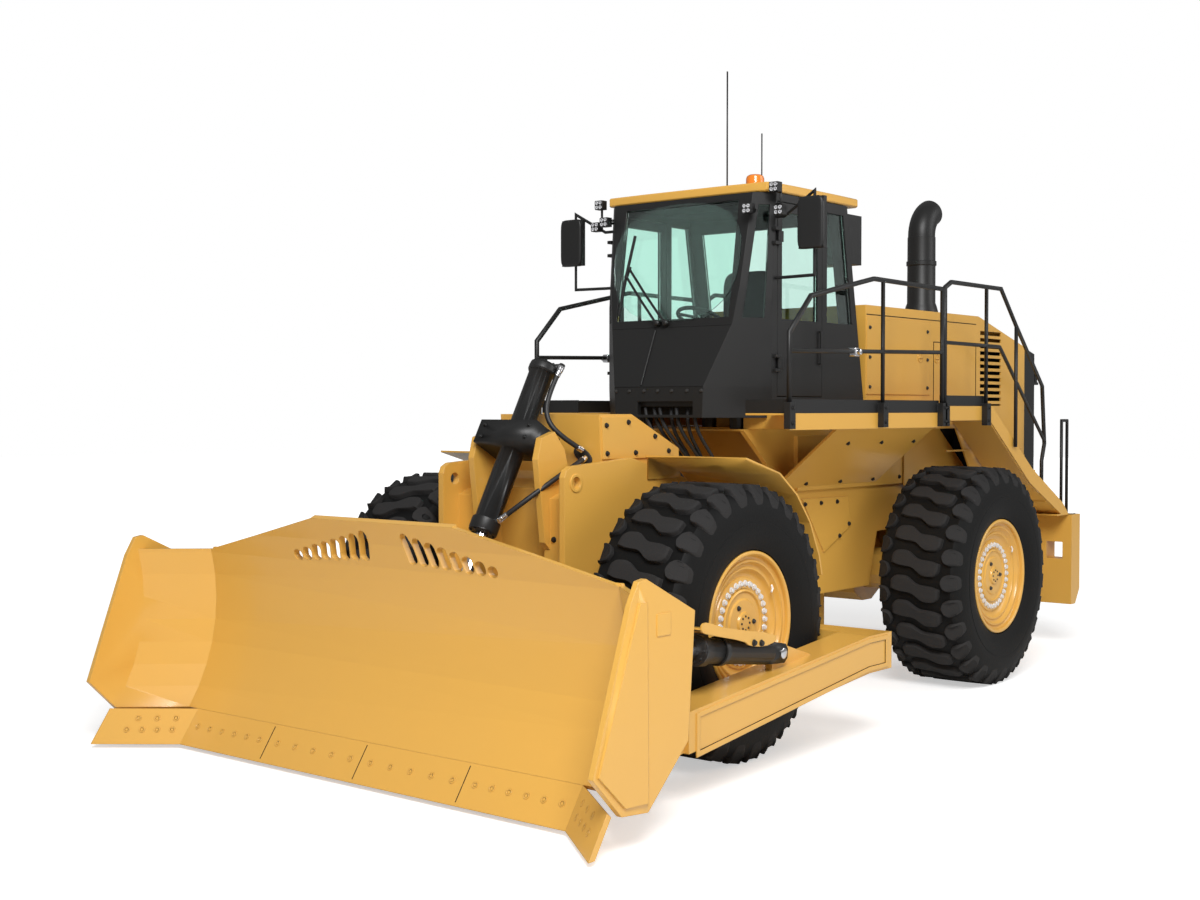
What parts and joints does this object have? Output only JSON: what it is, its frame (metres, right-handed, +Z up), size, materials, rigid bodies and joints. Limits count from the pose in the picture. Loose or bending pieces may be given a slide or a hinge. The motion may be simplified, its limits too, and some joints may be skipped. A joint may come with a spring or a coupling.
{
  "type": "articulated wheel dozer",
  "caption": "Articulated four-wheel dozer with a curved blade on a push frame, glazed cab, rear engine hood, walkways and rails.",
  "frame": {"origin": "on the ground below the articulation hitch, at the middle of the length and width", "axes": "+Y to the rear of the machine, +X to its left side, +Z up"},
  "size_m": [4.434, 8.6, 4.99],
  "materials": {
    "black": "satin black paint",
    "cast": "cast, painted dark",
    "chrome": "hard chrome",
    "glass": "green tinted glass",
    "hose": "hose rubber",
    "seat": "dark woven cloth",
    "tyre": "black rubber",
    "yellow": "gloss yellow machine paint"
  },
  "bodies": {
    "rear_frame": {"rear_frame": "yellow", "rear_axle": "yellow", "hitch_pins": "cast", "engine_block": "cast", "radiator": "black", "hood": "yellow", "rear_bumper": "yellow", "platforms": "yellow", "handrails": "black", "cab_mounts": "black", "cab_shell": "black", "cab_roof": "yellow", "cab_glass": "glass", "seat_base": "black", "seat_cushion": "seat", "seat_back": "seat", "console": "black", "exhaust_stack": "black", "air_unit": "black", "roof_fittings": "black", "mirrors": "black", "tow_hitch": "yellow", "kick_plates": "black"},
    "front_frame": {"front_frame": "yellow", "front_axle": "yellow", "front_fenders": "yellow"},
    "lift_cylinder": {"lift_cylinder": "black", "lift_hose_upper": "hose", "lift_hose_lower": "hose"},
    "lift_rod": {"lift_rod": "chrome"},
    "push_frame": {"push_frame": "yellow"},
    "blade": {"blade": "yellow", "cutting_edges": "yellow"},
    "radiator_guard": {"radiator_guard": "black"},
    "front_left_wheel": {"front_left_tyre": "tyre", "front_left_rim": "yellow"},
    "rear_left_wheel": {"rear_left_tyre": "tyre", "rear_left_rim": "yellow"},
    "steer_cylinder_left": {"steer_cylinder_left": "black"},
    "steer_rod_left": {"steer_rod_left": "chrome"},
    "tip_cylinder_left": {"tip_cylinder_left": "black", "tip_guard_left": "yellow"},
    "tip_rod_left": {"tip_rod_left": "chrome"},
    "cab_door_left": {"cab_door_left": "black", "door_glass_left": "glass"},
    "front_right_wheel": {"front_right_tyre": "tyre", "front_right_rim": "yellow"},
    "rear_right_wheel": {"rear_right_tyre": "tyre", "rear_right_rim": "yellow"},
    "steer_cylinder_right": {"steer_cylinder_right": "black"},
    "steer_rod_right": {"steer_rod_right": "chrome"},
    "tip_cylinder_right": {"tip_cylinder_right": "black", "tip_guard_right": "yellow"},
    "tip_rod_right": {"tip_rod_right": "chrome"},
    "cab_door_right": {"cab_door_right": "black", "door_glass_right": "glass"}
  },
  "joints": [
    {"name": "steer", "type": "hinge", "parent": "rear_frame", "child": "front_frame", "pos_m": [0, 0, 0.95], "axis": [0, 0, 1], "range_deg": [-43, 43]},
    {"name": "front_left_wheel_spin", "type": "hinge", "parent": "front_frame", "child": "front_left_wheel", "pos_m": [1.18, -1.85, 0.9], "axis": [1, 0, 0], "continuous": true},
    {"name": "front_right_wheel_spin", "type": "hinge", "parent": "front_frame", "child": "front_right_wheel", "pos_m": [-1.18, -1.85, 0.9], "axis": [1, 0, 0], "continuous": true},
    {"name": "rear_left_wheel_spin", "type": "hinge", "parent": "rear_frame", "child": "rear_left_wheel", "pos_m": [1.18, 1.85, 0.9], "axis": [1, 0, 0], "continuous": true},
    {"name": "rear_right_wheel_spin", "type": "hinge", "parent": "rear_frame", "child": "rear_right_wheel", "pos_m": [-1.18, 1.85, 0.9], "axis": [1, 0, 0], "continuous": true},
    {"name": "blade_lift", "type": "hinge", "parent": "front_frame", "child": "push_frame", "pos_m": [0, -0.8, 0.64], "axis": [-1, 0, 0], "range_deg": [-7, 20]},
    {"name": "blade_tip", "type": "hinge", "parent": "push_frame", "child": "blade", "pos_m": [0, -3.25, 0.4], "axis": [1, 0, 0], "range_deg": [-8, 8]},
    {"name": "lift_cylinder_swing", "type": "hinge", "parent": "front_frame", "child": "lift_cylinder", "pos_m": [0, -2.43, 2.07], "axis": [1, 0, 0], "range_deg": [-17.44, 6.43]},
    {"name": "lift_rod_slide", "type": "slide", "parent": "lift_cylinder", "child": "lift_rod", "axis": [0, -0.4872, -0.8733], "range_m": [-0.754, 0.2665]},
    {"name": "tip_cylinder_left_swing", "type": "hinge", "parent": "push_frame", "child": "tip_cylinder_left", "pos_m": [1.77, -1.985, 0.76], "axis": [1, 0, 0], "range_deg": [-0.51, 0.51]},
    {"name": "tip_rod_left_slide", "type": "slide", "parent": "tip_cylinder_left", "child": "tip_rod_left", "axis": [0, -0.9912, 0.1327], "range_m": [-0.0771, 0.0771]},
    {"name": "steer_cylinder_left_swing", "type": "hinge", "parent": "rear_frame", "child": "steer_cylinder_left", "pos_m": [0.37, 0.85, 0.95], "axis": [0, 0, 1], "range_deg": [-4.71, 4.71]},
    {"name": "steer_rod_left_slide", "type": "slide", "parent": "steer_cylinder_left", "child": "steer_rod_left", "axis": [-0.0408, -0.9992, 0], "range_m": [-0.2449, 0.2449]},
    {"name": "cab_door_left_swing", "type": "hinge", "parent": "rear_frame", "child": "cab_door_left", "pos_m": [0.784, -0.404, 3], "axis": [0, 0, -1], "range_deg": [0, 36]},
    {"name": "tip_cylinder_right_swing", "type": "hinge", "parent": "push_frame", "child": "tip_cylinder_right", "pos_m": [-1.77, -1.985, 0.76], "axis": [1, 0, 0], "range_deg": [-0.51, 0.51]},
    {"name": "tip_rod_right_slide", "type": "slide", "parent": "tip_cylinder_right", "child": "tip_rod_right", "axis": [0, -0.9912, 0.1327], "range_m": [-0.0771, 0.0771]},
    {"name": "steer_cylinder_right_swing", "type": "hinge", "parent": "rear_frame", "child": "steer_cylinder_right", "pos_m": [-0.37, 0.85, 0.95], "axis": [0, 0, 1], "range_deg": [-4.71, 4.71]},
    {"name": "steer_rod_right_slide", "type": "slide", "parent": "steer_cylinder_right", "child": "steer_rod_right", "axis": [0.0408, -0.9992, 0], "range_m": [-0.2449, 0.2449]},
    {"name": "cab_door_right_swing", "type": "hinge", "parent": "rear_frame", "child": "cab_door_right", "pos_m": [-0.784, -0.404, 3], "axis": [0, 0, 1], "range_deg": [0, 36]},
    {"name": "radiator_guard_swing", "type": "hinge", "parent": "rear_frame", "child": "radiator_guard", "pos_m": [0.75, 4.262, 2], "axis": [0, 0, -1], "range_deg": [0, 90]}
  ],
  "couplings": [
    {"joint": "lift_cylinder_swing", "follows": "blade_lift", "ratio": -0.847},
    {"joint": "lift_rod_slide", "follows": "blade_lift", "m_per_rad": -2.1485},
    {"joint": "tip_cylinder_left_swing", "follows": "blade_tip", "ratio": -0.00147},
    {"joint": "tip_rod_left_slide", "follows": "blade_tip", "m_per_rad": 0.52361},
    {"joint": "steer_cylinder_left_swing", "follows": "steer", "ratio": 0.09782},
    {"joint": "steer_rod_left_slide", "follows": "steer", "m_per_rad": -0.32098},
    {"joint": "tip_cylinder_right_swing", "follows": "blade_tip", "ratio": -0.00147},
    {"joint": "tip_rod_right_slide", "follows": "blade_tip", "m_per_rad": 0.52361},
    {"joint": "steer_cylinder_right_swing", "follows": "steer", "ratio": 0.09782},
    {"joint": "steer_rod_right_slide", "follows": "steer", "m_per_rad": 0.32098}
  ]
}
